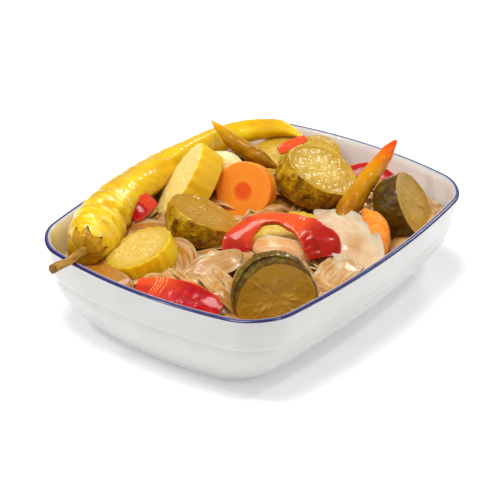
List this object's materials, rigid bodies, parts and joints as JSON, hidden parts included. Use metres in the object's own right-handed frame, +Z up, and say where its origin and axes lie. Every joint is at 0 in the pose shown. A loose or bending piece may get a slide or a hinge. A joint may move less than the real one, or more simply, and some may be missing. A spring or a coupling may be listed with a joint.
{
  "type": "bowl of pickles",
  "caption": "Oblong glazed dish with a dark lip, heaped with mixed pickles: cabbage, gherkin, carrot, ridged marrow, red pepper, chilli and a long yellow pepper.",
  "frame": {"origin": "middle of the dish's flat foot, on the surface it stands on", "axes": "+Z up, +X along the dish's length, +Y across it towards the side where the long pepper lies"},
  "size_m": [0.2112, 0.1552, 0.0672],
  "materials": {
    "glazed_dish": "glossy white glaze with a thin dark blue painted lip",
    "shredded_cabbage": "wet, translucent shredded cabbage",
    "cabbage_leaf": "wet, translucent pickled cabbage leaf",
    "yellow_pepper": "glossy wrinkled yellow skin, brown stem",
    "gherkin": "olive warty skin and moist seeded cut face",
    "ridged_marrow": "pale yellow-green flesh with a shallowly ridged rim",
    "carrot": "moist orange carrot with a redder core",
    "red_pepper": "glossy red skin with paler cut edges",
    "chilli": "glossy olive-orange skin"
  },
  "bodies": {
    "root": {"dish": "glazed_dish", "cabbage_heap": "shredded_cabbage", "long_pepper": "yellow_pepper", "gherkin_centre": "gherkin", "gherkin_left": "gherkin", "gherkin_front": "gherkin", "gherkin_right": "gherkin", "gherkin_back_left": "gherkin", "gherkin_back_right": "gherkin", "carrot_disc": "carrot", "carrot_right": "carrot", "chilli_left": "chilli", "chilli_right": "chilli", "ridged_slice_front": "ridged_marrow", "ridged_wedge": "ridged_marrow", "ridged_slice_back": "ridged_marrow", "red_arch": "red_pepper", "red_left": "red_pepper", "red_front": "red_pepper", "red_back": "red_pepper", "red_right": "red_pepper", "leaf_right": "cabbage_leaf", "leaf_left": "cabbage_leaf", "leaf_under_arch": "cabbage_leaf", "leaf_back": "cabbage_leaf", "leaf_corner": "cabbage_leaf", "leaf_front": "cabbage_leaf", "leaf_slice": "cabbage_leaf", "leaf_wall": "cabbage_leaf"}
  },
  "joints": []
}
